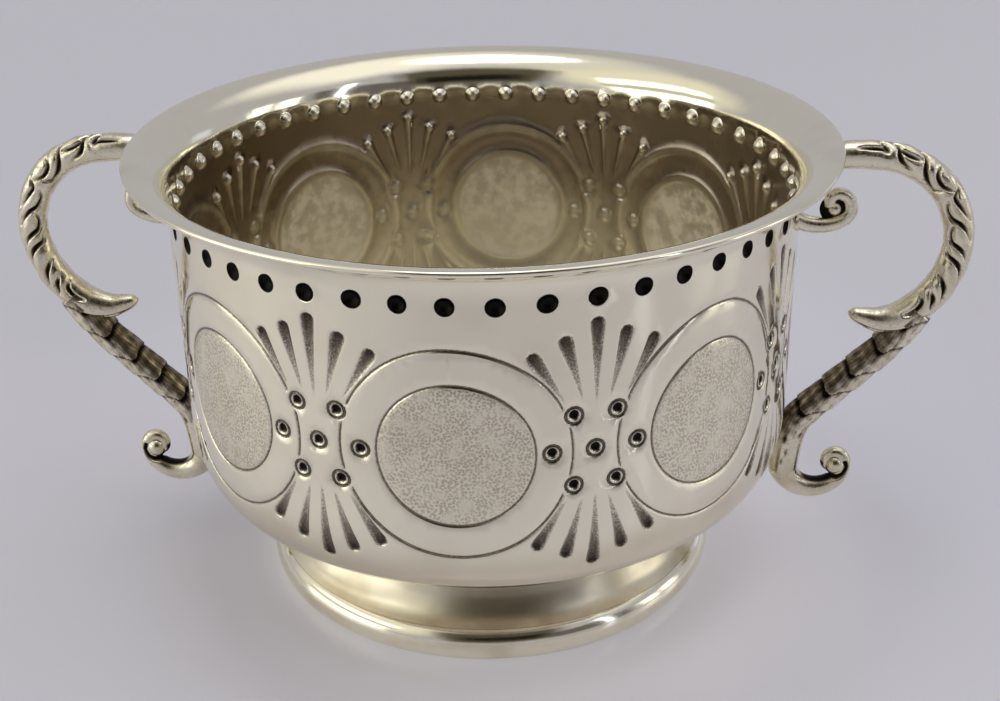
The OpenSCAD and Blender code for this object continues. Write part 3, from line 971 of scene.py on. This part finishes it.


# Upper scrolls: a short plain spur on the wall under each handle's root, cast,
# polished and curled over a ball, soldered by its thick end. A thin black web
# fills the curl behind the ball: painted shade in the gap.

scroll_drop, scroll_reach, scroll_radius = 10.3, 5.2, 1.45
scroll_ball, shadow_web, shadow_web_thin = 1.0, 2.1, 0.17
scroll_pitch, scroll_sides = 0.16, 48
spur = (wall_radius + scroll_reach, cup_height - scroll_drop)
spur_curl = ((0, 2.3), (35, 2.3), (70, 2.1), (100, 1.75), (125, 1.25), (150, 0.75))
spur_line = smooth(scroll_line(
    spur, root=wall_radius - 1.1, drop=2.5, curl=spur_curl, thick=scroll_radius, thin=0.85,
), steps=10)
spur_line, _ = evenly(spur_line, scroll_pitch)
spur_points, spur_faces = bar(spur_line, scroll_sides, np.zeros((len(spur_line), scroll_sides)))
spur_points = clear_of_bowl(spur_points)
spur_dark = np.zeros(len(spur_points))
for radius, deep, shade in ((shadow_web, shadow_web_thin, 1.0), (scroll_ball, 1.0, 0.0)):
    spur_points, spur_faces, spur_dark = with_ball(
        spur_points, spur_faces, spur_dark, spur, radius, deep, shade,
    )
right_upper_scroll = made_of_points(
    "right_curled_scroll", [spur_points * MM], spur_faces, {"dark": spur_dark},
)
right_upper_scroll.data.materials.append(carved_silver)
left_upper_scroll = other_side(right_upper_scroll, "left_curled_scroll")
for piece, node in (
    (right_upper_scroll, "right_upper_scroll"), (left_upper_scroll, "left_upper_scroll"),
):
    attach(piece, "root")
    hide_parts(node)


# Table: a wide pale sheet with a faint gloss, painted a little lighter to the right
# as painted light. Its glow stands for the light that the window and the silver throw on it.

bpy.ops.object.select_all(action="DESELECT")
bpy.ops.mesh.primitive_plane_add(size=6.0)
table = bpy.context.object
table.name = "table"
pale_sheet, wire, place = finish("pale_sheet")
cloud = place.noise(0.004, 3)
window_spot, foot_spot = (-180 * MM, -20 * MM, 0), (10 * MM, 0, 0)
to_right = place.node(
    "ShaderNodeVectorMath", {"operation": "DOT_PRODUCT"}, {0: place, 1: (1, -0.5, 0)}, 1,
)
from_window = place.node(
    "ShaderNodeVectorMath", {"operation": "DISTANCE"}, {0: place, 1: window_spot}, 1,
)
from_foot = place.node(
    "ShaderNodeVectorMath", {"operation": "DISTANCE"}, {0: place, 1: foot_spot}, 1,
)
lit = from_window.between(40 * MM, 130 * MM).tint((0.09, 0.085, 0.065, 1), (0, 0, 0, 1))
thrown = from_foot.between(60 * MM, 140 * MM).tint((0.05, 0.05, 0.055, 1), lit)
bounced = from_foot.between(34 * MM, 56 * MM).tint((0.19, 0.185, 0.19, 1), thrown)
# Painted light: the table's colour grows lighter towards the right, over a faint cloud.
cloud_and_painted_light = cloud * 0.3 + to_right.between(-150 * MM, 150 * MM) * 0.7
surface(
    wire,
    colour=cloud_and_painted_light.tint((0.63, 0.625, 0.705, 1), (0.7, 0.69, 0.775, 1)),
    roughness=0.2 + cloud * 0.06,
    height=place.noise(0.6, 2) * 0.02,
    lift=0.1,
    metallic=0.0,
    glow=bounced,
)
table.data.materials.append(pale_sheet)


# Room: soft even light from all round, a wide window on the left, small windows
# on the right, a lamp overhead, and the dark end of the room in front of the cup.

world = bpy.data.worlds.new("room")
bpy.context.scene.world = world
world.use_nodes = True
world.node_tree.nodes.clear()
wire = Wire(world.node_tree)
look = wire.node("ShaderNodeTexCoord", output="Generated")


def facing(way):
    """1 where the room is seen straight along a way, 0 square to it."""
    return look.node("ShaderNodeVectorMath", {"operation": "DOT_PRODUCT"}, {0: look, 1: way}, 1)


def pane(azimuth, elevation, wide, tall, soft):
    """1 inside a square of the room as seen from the cup, 0 outside, with a soft edge."""
    a, e = math.radians(azimuth), math.radians(elevation)
    toward = Vector((math.cos(e) * math.cos(a), math.cos(e) * math.sin(a), math.sin(e)))
    side = Vector((-math.sin(a), math.cos(a), 0))
    ahead = facing(toward)
    across = look.sums("DIVIDE", look.sums("ABSOLUTE", facing(side)), ahead)
    along = look.sums("DIVIDE", look.sums("ABSOLUTE", facing(toward.cross(side))), ahead)
    beside = across.between(wide - soft, wide + soft)
    beyond = along.between(tall - soft, tall + soft)
    return (1 - beside) * (1 - beyond) * ahead.between(0.0, 0.02)


height = look.node("ShaderNodeSeparateXYZ", {}, {0: look}, 2)
light = height.between(0.78, 0.97).tint((0.445, 0.44, 0.48, 1), (0.7, 0.69, 0.68, 1))
light = height.between(0.95, 0.99).tint(light, (3.6, 3.55, 3.5, 1))
panes = (
    (-160, 38, 0.75, 0.5, 0.3, (0.82, 0.79, 0.68, 1)),  # pale wall round the left window
    (20, 66, 0.5, 0.34, 0.24, (1.02, 1.0, 0.95, 1)),  # pale ceiling on the right
    (-36, 16, 0.4, 0.22, 0.08, (0.13, 0.12, 0.12, 1)),  # dark corner, front right
    (-82, 31, 0.5, 0.46, 0.12, (0.085, 0.075, 0.052, 1)),  # dark end of the room
    (-80, 26, 0.34, 0.16, 0.1, (0.01, 0.01, 0.008, 1)),  # black doorway in it
    (-161, 17, 0.44, 0.37, 0.06, (1.85, 1.82, 1.68, 1)),  # left window
    (-161, 21, 0.48, 0.08, 0.03, (0.55, 0.53, 0.46, 1)),  # its bar
    (-2, 13, 0.085, 0.16, 0.02, (1.9, 1.88, 1.7, 1)),  # small windows on the right
    (12, 13, 0.085, 0.16, 0.02, (1.9, 1.88, 1.7, 1)),
    (-27, 20, 0.03, 0.3, 0.012, (2.6, 2.7, 3.0, 1)),  # chink of daylight
    (46, 9, 0.1, 0.07, 0.03, (0.7, 0.71, 0.85, 1)),  # far window, back right
)
for azimuth, elevation, wide, tall, soft, shine in panes:
    light = pane(azimuth, elevation, wide, tall, soft).tint(light, shine)
glow = wire.node("ShaderNodeBackground", {}, {"Color": light, "Strength": 1.0})
wire.node("ShaderNodeOutputWorld", {}, {"Surface": glow})


# Camera: above the table and a little to the right of the middle, close in. Its
# place, its turns in radians and its lens were fitted to the lip, beads and foot.

camera_place = Vector((19.59, -202.8, 130.25))
yaw, pitch, roll_angle = -0.0871, 0.4502, -0.0174
focal_pixels, image_width = 1504.4856, 1000
forward = Vector((
    math.sin(yaw) * math.cos(pitch), math.cos(yaw) * math.cos(pitch), -math.sin(pitch),
))
level = Vector((math.cos(yaw), -math.sin(yaw), 0))
upward = level.cross(forward)
right = math.cos(roll_angle) * level + math.sin(roll_angle) * upward
top = -math.sin(roll_angle) * level + math.cos(roll_angle) * upward
lens = bpy.data.cameras.new("camera")
lens.sensor_width = 36.0
lens.lens = focal_pixels / image_width * lens.sensor_width
lens.clip_start = 0.01
camera = bpy.data.objects.new("camera", lens)
aim = Matrix((right, top, -forward)).transposed().to_4x4()
camera.matrix_world = Matrix.Translation(camera_place * MM) @ aim
bpy.context.scene.collection.objects.link(camera)
bpy.context.scene.camera = camera
bpy.context.scene.view_settings.view_transform = "Standard"
